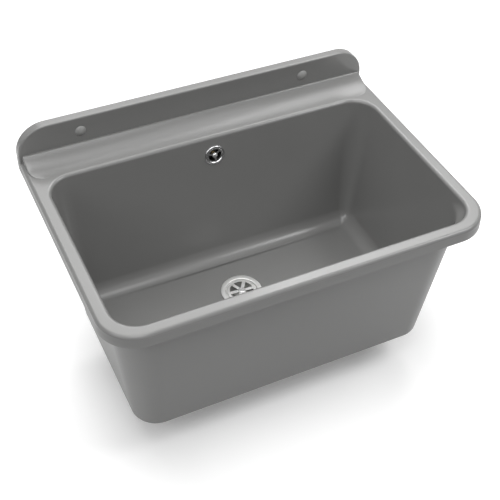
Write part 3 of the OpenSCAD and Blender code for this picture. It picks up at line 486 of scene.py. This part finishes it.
def wedges(count, first, r_in, r_out, spoke, rounds, centre, low, high, axis=(0, 0, 1), side=(1, 0, 0)):
    """Rounded wedges between the spokes. A wedge's corners lie where its straight sides, half a spoke from
    the spoke's middle line, meet the inner and outer circles; each corner is rounded as in section()."""
    axis, side = np.asarray(axis, float), np.asarray(side, float)
    other = np.cross(axis, side)
    round_in, round_out = rounds
    half = math.pi / count
    inner_a, outer_a = half - math.asin(spoke / 2 / r_in), half - math.asin(spoke / 2 / r_out)
    angle = np.concatenate([np.linspace(-outer_a, outer_a, 9), np.linspace(inner_a, -inner_a, 3)])
    radius = np.array([r_out] * 9 + [r_in] * 3)
    size = np.array([round_out] + [0] * 7 + [round_out, round_in, 0, round_in])
    flat = section(*np.stack([radius * np.cos(angle), radius * np.sin(angle), size], 1).tolist(), steps=4)
    pieces = []
    for k in range(count):
        a = first + (2 * k + 1) * half
        x = flat[:, 0] * math.cos(a) - flat[:, 1] * math.sin(a)
        y = flat[:, 0] * math.sin(a) + flat[:, 1] * math.cos(a)
        face = np.asarray(centre, float) + x[:, None] * side + y[:, None] * other
        pieces.append(solid("opening", np.stack([face + low * axis, face + high * axis])))
    return pieces


rounded_square = section((1, 1, 0.1), (2, 1, 0.1), (2, 2, 0.1), (1, 2, 0.1))
print("a square with rounds has", len(rounded_square), "points")

# %% [markdown]
# ## Strainer
# The strainer is pressed from one sheet: a flat flange, a narrow groove, and a round disc nearly level with
# the flange, with six openings between its spokes. The edges of the openings are barely broken, and a very
# fine bevel stands for that. Each entry of the section is a radius, a height and a round, in mm.
# %% Strainer
FLANGE_Z = floor_z + 0.3
DRAIN = np.array([0, DRAIN_Y, FLANGE_Z])
STRAINER_SECTION = (
    (3.3, -0.4, 0.1), (24.5, -0.4, 0.8), (25.0, -3.4, 0.6), (26.5, -3.4, 0.6), (27.0, 0, 1.1),
    (35.0, 0, 0.6), (35.0, -1.5, 0.4), (28.5, -1.5, 0.9), (28.5, -4.9, 1.0), (23.5, -4.9, 1.0),
    (23.0, -1.9, 0.8), (3.3, -1.9, 0.1))
strainer = turned("strainer_sheet", section(*STRAINER_SECTION), DRAIN)
for wedge in wedges(6, math.radians(55), r_in=6.8, r_out=20.3, spoke=5.4, rounds=(0.35, 0.8),
                    centre=DRAIN, low=-3, high=1):
    combine(strainer, wedge, "DIFFERENCE")
strainer.data.shade_smooth()
strainer.data.set_sharp_from_angle(angle=math.radians(40))
press = strainer.modifiers.new("pressed_edges", "BEVEL")
press.width, press.segments = 0.35 * MM, 2
press.limit_method, press.angle_limit = "ANGLE", math.radians(50)
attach(strainer, "sink")
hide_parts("strainer")
print("strainer:", len(strainer.data.polygons), "faces")

# %% [markdown]
# ## Overflow rosette
# The rosette is a chromed cover about as wide as an egg cup. Its rim is a full, round bezel that mirrors
# the lamps in two bright arcs, its middle is sunk, and three openings leave a small star round the screw.
# It is made like the strainer, about an axis that is square to the leaning back wall.
# %% Rosette
SIDEWAYS = np.array([1.0, 0, 0])
ROSETTE_SECTION = (
    (2.3, -1.0, 0.1), (12.6, -1.0, 0.5), (13.6, -2.2, 0.9), (17.0, -1.7, 1.2), (17.0, 0, 0.1),
    (2.3, 0, 0.1))
rosette = turned("rosette_cover", section(*ROSETTE_SECTION), OVERFLOW, OVERFLOW_AXIS, SIDEWAYS)
for wedge in wedges(3, math.radians(80), r_in=4.8, r_out=11.0, spoke=3.2, rounds=(1.6, 0.6),
                    centre=OVERFLOW, low=-2, high=1, axis=OVERFLOW_AXIS, side=SIDEWAYS):
    combine(rosette, wedge, "DIFFERENCE")
rosette.data.shade_smooth()
rosette.data.set_sharp_from_angle(angle=math.radians(40))
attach(rosette, "sink")
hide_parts("overflow_rosette")
print("rosette:", len(rosette.data.polygons), "faces")

# %% [markdown]
# ## Finishes
# One node group makes the fine unevenness that every moulded or turned surface has: a slow drift of tone,
# a fine grain, and a height for the bump. Each finish places the group with its own scale, and turns what
# comes out into a colour, a roughness and a bump. The patterns read Object coordinates, so they stay on
# the piece when it moves.
# %% A node group for the surface's unevenness
DRIFT_SCALE, DRIFT_DETAIL, GRAIN_DETAIL, DRIFT_IN_HEIGHT = 7.0, 3.0, 4.0, 0.15


def grain_group():
    """Drift = large soft noise; Grain = small noise; Height = Grain + a little of Drift."""
    group = bpy.data.node_groups.new("surface_grain", "ShaderNodeTree")
    for name, kind in (("Vector", "NodeSocketVector"), ("Scale", "NodeSocketFloat")):
        group.interface.new_socket(name, in_out="INPUT", socket_type=kind)
    for name in ("Drift", "Grain", "Height"):
        group.interface.new_socket(name, in_out="OUTPUT", socket_type="NodeSocketFloat")
    new, link = group.nodes.new, group.links.new
    start, end = new("NodeGroupInput"), new("NodeGroupOutput")
    slow, fine, mix = new("ShaderNodeTexNoise"), new("ShaderNodeTexNoise"), new("ShaderNodeMath")
    slow.inputs["Scale"].default_value, slow.inputs["Detail"].default_value = DRIFT_SCALE, DRIFT_DETAIL
    fine.inputs["Detail"].default_value = GRAIN_DETAIL
    mix.operation = "MULTIPLY_ADD"
    mix.inputs[1].default_value = DRIFT_IN_HEIGHT
    link(start.outputs["Vector"], slow.inputs["Vector"])
    link(start.outputs["Vector"], fine.inputs["Vector"])
    link(start.outputs["Scale"], fine.inputs["Scale"])
    link(slow.outputs["Fac"], mix.inputs[0])
    link(fine.outputs["Fac"], mix.inputs[2])
    link(slow.outputs["Fac"], end.inputs["Drift"])
    link(fine.outputs["Fac"], end.inputs["Grain"])
    link(mix.outputs[0], end.inputs["Height"])
    return group


GRAIN = grain_group()
print("group outputs:", [s.name for s in GRAIN.interface.items_tree if s.in_out == "OUTPUT"])

# %% [markdown]
# A finish is told by five things: its darkest and lightest colour, its least and greatest roughness, the
# size of its grain, how deep that grain is, and whether it is metal. Brushed sheet and turned brass also
# have their grain stretched along one axis, as the tool left it. Noise lies mostly between 0.3 and 0.7, so
# that is the stretch that is spread over the two roughnesses.
# %% The finish of a surface
DRIFT_SHARE, NOISE_LOW, NOISE_HIGH = 0.5, 0.3, 0.7


def finish(name, dark, light, rough, scale, bump, metallic=0.0, stretch=(1, 1, 1)):
    """Colour runs from dark to light with Drift, roughness over its two values with Grain and Drift,
    and Height bends the normal by 'bump' mm."""
    material = bpy.data.materials.new(name)
    material.use_nodes = True
    new, link = material.node_tree.nodes.new, material.node_tree.links.new
    shader = material.node_tree.nodes["Principled BSDF"]
    where, turn, grain = new("ShaderNodeTexCoord"), new("ShaderNodeMapping"), new("ShaderNodeGroup")
    grain.node_tree = GRAIN
    grain.inputs["Scale"].default_value = scale
    turn.inputs["Scale"].default_value = stretch
    tone, gloss, relief = new("ShaderNodeMix"), new("ShaderNodeMapRange"), new("ShaderNodeBump")
    blend = new("ShaderNodeMix")
    tone.data_type = "RGBA"
    tone.inputs["A"].default_value = (*dark, 1)
    tone.inputs["B"].default_value = (*light, 1)
    blend.inputs["Factor"].default_value = DRIFT_SHARE
    gloss.inputs["From Min"].default_value, gloss.inputs["From Max"].default_value = NOISE_LOW, NOISE_HIGH
    gloss.inputs["To Min"].default_value, gloss.inputs["To Max"].default_value = rough
    relief.inputs["Strength"].default_value, relief.inputs["Distance"].default_value = 1.0, bump * MM
    shader.inputs["Metallic"].default_value = metallic
    link(where.outputs["Object"], turn.inputs["Vector"])
    link(turn.outputs["Vector"], grain.inputs["Vector"])
    link(grain.outputs["Drift"], tone.inputs["Factor"])
    link(tone.outputs["Result"], shader.inputs["Base Color"])
    link(grain.outputs["Grain"], blend.inputs["A"])
    link(grain.outputs["Drift"], blend.inputs["B"])
    link(blend.outputs["Result"], gloss.inputs["Value"])
    link(gloss.outputs["Result"], shader.inputs["Roughness"])
    link(grain.outputs["Height"], relief.inputs["Height"])
    link(relief.outputs["Normal"], shader.inputs["Normal"])
    return material


grey = finish("satin_grey", (0.190, 0.190, 0.186), (0.212, 0.212, 0.208), (0.17, 0.25), 900, 0.012)
cap_grey = finish("cap_grey", (0.28, 0.28, 0.275), (0.31, 0.31, 0.305), (0.28, 0.4), 1200, 0.02)
# The outside grey is rougher, and its darker colour is painted shade on the outward upright faces.
shaded_outside_grey = finish("rougher_grey_painted_shade", (0.168, 0.168, 0.165), (0.188, 0.188, 0.185), (0.34, 0.44),
                  900, 0.02)
steel = finish("brushed_sheet", (0.68, 0.68, 0.67), (0.74, 0.74, 0.73), (0.34, 0.48),
               500, 0.02, metallic=1.0, stretch=(1, 14, 1))
screw_steel = finish("screw_steel", (0.50, 0.50, 0.50), (0.58, 0.58, 0.58), (0.38, 0.5),
                     600, 0.01, metallic=1.0)
chrome = finish("chrome_plate", (0.64, 0.64, 0.65), (0.70, 0.70, 0.71), (0.08, 0.16),
                300, 0.004, metallic=1.0)
rubber = finish("black_rubber", (0.015, 0.015, 0.015), (0.03, 0.03, 0.03), (0.55, 0.75), 1500, 0.04)
white = finish("white_fitting", (0.74, 0.74, 0.72), (0.80, 0.80, 0.78), (0.25, 0.4), 700, 0.03)
black = finish("black_fitting", (0.018, 0.018, 0.018), (0.03, 0.03, 0.03), (0.28, 0.45), 700, 0.03)
brass = finish("turned_brass", (0.34, 0.25, 0.11), (0.42, 0.31, 0.15), (0.35, 0.5),
               800, 0.01, metallic=1.0, stretch=(1, 1, 9))
finishes = (grey, cap_grey, shaded_outside_grey, steel, screw_steel, chrome, rubber, white, black, brass)
print("finishes:", [material.name for material in finishes])

# %% [markdown]
# ## Dressing the pieces
# The inside of such a bowl is polished in its mould, so that it rinses clean, and its outside is left a
# little rougher. The outside's colour is also made darker, and that darker colour is painted shade on the
# upright faces that look away from the bowl. So the moulding has two materials, and its outside faces are
# found by where they look. Everything else has one finish all over.
# %% Dressing
BOWL_MIDDLE = (0, -0.22)
FINISH_OF = {
    "basin": grey, "left_cap": cap_grey, "right_cap": cap_grey,
    "strainer": steel, "strainer_screw": screw_steel, "strainer_seal": rubber,
    "waste_body": white, "waste_seal": rubber, "waste_insert": brass,
    "overflow_rosette": chrome, "overflow_screw": screw_steel, "overflow_seal": rubber,
    "overflow_elbow": black, "overflow_insert": brass, "overflow_pipe": black,
    "elbow_nut": black, "elbow_cone_seal": rubber, "inlet_nut": black, "inlet_cone_seal": rubber,
}


def dress(piece, material):
    """Gives the whole piece one material."""
    piece.data.materials.clear()
    piece.data.materials.append(material)


def shade_outside_faces(piece, material):
    """A second material, rougher and with a darker colour that is painted shade, for the faces below the
    rim that look away from the bowl's middle m: those where (centre - m) . normal > 0, seen from above."""
    count = len(piece.data.polygons)
    centre, normal = np.empty(count * 3), np.empty(count * 3)
    piece.data.polygons.foreach_get("center", centre)
    piece.data.polygons.foreach_get("normal", normal)
    centre, normal = centre.reshape(-1, 3), normal.reshape(-1, 3)
    away = ((centre[:, :2] - BOWL_MIDDLE) * normal[:, :2]).sum(1)
    # These outward upright faces get the darker colour, which is painted shade, and the rougher finish.
    outside = (away > 0) & (np.abs(normal[:, 2]) < 0.5) & (centre[:, 2] < (RIM_Z - EDGE_R) * MM)
    piece.data.materials.append(material)
    piece.data.polygons.foreach_set("material_index", outside.astype(np.int32))
    return int(outside.sum())


dress(moulding, grey)
print("outside faces:", shade_outside_faces(moulding, shaded_outside_grey))
dress(strainer, steel)
dress(rosette, chrome)
for name, material in FINISH_OF.items():
    dress(nodes[name], material)
print("dressed:", len(FINISH_OF), "solids")

# %% [markdown]
# ## Floor and white surroundings
# The photograph has a bare white ground with one soft shadow round the sink's foot. The floor is a plain
# pale sheet below the waste. It glows for the camera and in mirrors, so that it reads as white where the
# lamps reach it. Its glow is weaker under and round the sink, and that paints shadow there, on top of the
# lamps' own shadow.
# %% Floor and world
# The weaker glow under the sink is painted shadow: it darkens the floor there, on top of the lamps' shadow.
SHADOW_CENTRE, SHADOW_HALF, SHADOW_REACH = (0.04, -0.24, 0), (0.21, 0.10, 0), 0.18
PAINTED_SHADOW_GLOW, GLOW_BEYOND, WORLD_DIM = 0.20, 0.45, 0.05
FLOOR_HALF, FLOOR_TOP, FLOOR_T = 6000, -376.5, 10


def seen_directly(tree):
    """1 for camera, mirror and see-through rays, 0 for all others."""
    path_info = tree.nodes.new("ShaderNodeLightPath")
    seen = path_info.outputs["Is Camera Ray"]
    for name in ("Is Glossy Ray", "Is Transmission Ray"):
        both = tree.nodes.new("ShaderNodeMath")
        both.operation = "MAXIMUM"
        tree.links.new(seen, both.inputs[0])
        tree.links.new(path_info.outputs[name], both.inputs[1])
        seen = both.outputs[0]
    return seen


def painted_shadow_ramp(tree, centre, half, reach):
    """0 over the rectangle 'half' about the centre, rising smoothly to 1 at 'reach' outside it, in metres:
    d = |max(|p - centre| - half, 0)|."""
    where = tree.nodes.new("ShaderNodeTexCoord").outputs["Object"]
    for operation, value in (("SUBTRACT", centre), ("ABSOLUTE", None), ("SUBTRACT", half),
                             ("MAXIMUM", (0, 0, -100)), ("MULTIPLY", (1, 1, 0)), ("LENGTH", None)):
        step = tree.nodes.new("ShaderNodeVectorMath")
        step.operation = operation
        tree.links.new(where, step.inputs[0])
        if value is not None:
            step.inputs[1].default_value = value
        where = step.outputs["Value" if operation == "LENGTH" else "Vector"]
    ramp = tree.nodes.new("ShaderNodeMapRange")
    ramp.interpolation_type = "SMOOTHSTEP"
    ramp.inputs["From Max"].default_value = reach
    tree.links.new(where, ramp.inputs["Value"])
    return ramp


def floor_material(under, beyond):
    """Pale and matt. The glow goes from 'under' below the sink to 'beyond' away from it; the weaker glow
    below the sink paints shadow there.
    """
    material = bpy.data.materials.new("pale_floor")
    material.use_nodes = True
    tree = material.node_tree
    shader = tree.nodes["Principled BSDF"]
    shader.inputs["Base Color"].default_value = (0.85, 0.85, 0.85, 1)
    shader.inputs["Roughness"].default_value = 1.0
    shader.inputs["Specular IOR Level"].default_value = 0.0
    shine, both = tree.nodes.new("ShaderNodeEmission"), tree.nodes.new("ShaderNodeAddShader")
    gate = tree.nodes.new("ShaderNodeMath")
    gate.operation = "MULTIPLY"
    ramp = painted_shadow_ramp(tree, SHADOW_CENTRE, SHADOW_HALF, SHADOW_REACH)
    ramp.inputs["To Min"].default_value, ramp.inputs["To Max"].default_value = under, beyond
    tree.links.new(seen_directly(tree), gate.inputs[0])
    tree.links.new(ramp.outputs["Result"], gate.inputs[1])
    tree.links.new(gate.outputs[0], shine.inputs["Strength"])
    tree.links.new(shader.outputs[0], both.inputs[0])
    tree.links.new(shine.outputs[0], both.inputs[1])
    tree.links.new(both.outputs[0], tree.nodes["Material Output"].inputs["Surface"])
    return material


def surroundings(dim):
    """White for rays that see it directly, a dim grey for the light it gives."""
    world = bpy.data.worlds.new("surroundings")
    world.use_nodes = True
    tree = world.node_tree
    back = tree.nodes["Background"]
    back.inputs["Color"].default_value = (1, 1, 1, 1)
    mix = tree.nodes.new("ShaderNodeMapRange")
    mix.inputs["To Min"].default_value, mix.inputs["To Max"].default_value = dim, 1.0
    tree.links.new(seen_directly(tree), mix.inputs["Value"])
    tree.links.new(mix.outputs[0], back.inputs["Strength"])
    bpy.context.scene.world = world


floor = blocks("floor", [[-FLOOR_HALF, -FLOOR_HALF, FLOOR_TOP - FLOOR_T]],
               [[FLOOR_HALF, FLOOR_HALF, FLOOR_TOP]])
dress(floor, floor_material(PAINTED_SHADOW_GLOW, GLOW_BEYOND))
surroundings(WORLD_DIM)
print("floor top at", FLOOR_TOP, "mm")

# %% [markdown]
# ## Lamps
# The rim and the shelf of the sink in the photograph are much brighter than its upright faces, and the cove
# gets darker where it turns up. So the main light is a bank of soft boxes high behind the sink, which the
# level faces mirror towards the camera. Weaker ones above, in front and at the left fill the upright faces.
# Every lamp aims at the middle of the sink from two metres away, so two angles place it.
# %% Lamps
AIM, AIM_DISTANCE = (0, -0.2, -0.1), 2.0


def lamp(name, elevation, azimuth, size, power):
    """A square lamp that looks at the aim: (cos e cos a, cos e sin a, sin e) is the way back to it."""
    e, a = np.radians([elevation, azimuth])
    back = np.array([math.cos(e) * math.cos(a), math.cos(e) * math.sin(a), math.sin(e)])
    side = np.cross([0, 0, 1], back)
    side /= np.linalg.norm(side)
    data = bpy.data.lights.new(name, "AREA")
    data.shape, data.size, data.energy = "SQUARE", size, power
    made = bpy.data.objects.new(name, data)
    matrix = np.eye(4)
    matrix[:3, 0], matrix[:3, 1], matrix[:3, 2] = side, np.cross(back, side), back
    matrix[:3, 3] = np.array(AIM) + AIM_DISTANCE * back
    made.matrix_world = Matrix(matrix.tolist())
    bpy.context.scene.collection.objects.link(made)


LAMPS = (  # name, elevation, azimuth, size in metres, power in watts
    ("back_right", 46, 45, 0.7, 7.1),
    ("back_middle", 46, 70, 0.7, 4.4),
    ("back_left", 46, 95, 0.7, 4.7),
    ("high_back_right", 58, 60, 0.9, 4.4),
    ("high_back_left", 66, 125, 0.8, 8.7),
    ("above", 84, 270, 0.9, 6.6),
    ("front_right", 48, 330, 0.9, 16.5),
    ("front_left", 58, 240, 0.9, 10.4),
    ("left", 35, 202, 0.9, 8.6))
for row in LAMPS:
    lamp(*row)
bpy.context.scene.view_settings.view_transform = "Standard"
print("lamps:", len(LAMPS), "total power", round(sum(row[4] for row in LAMPS), 1), "W")
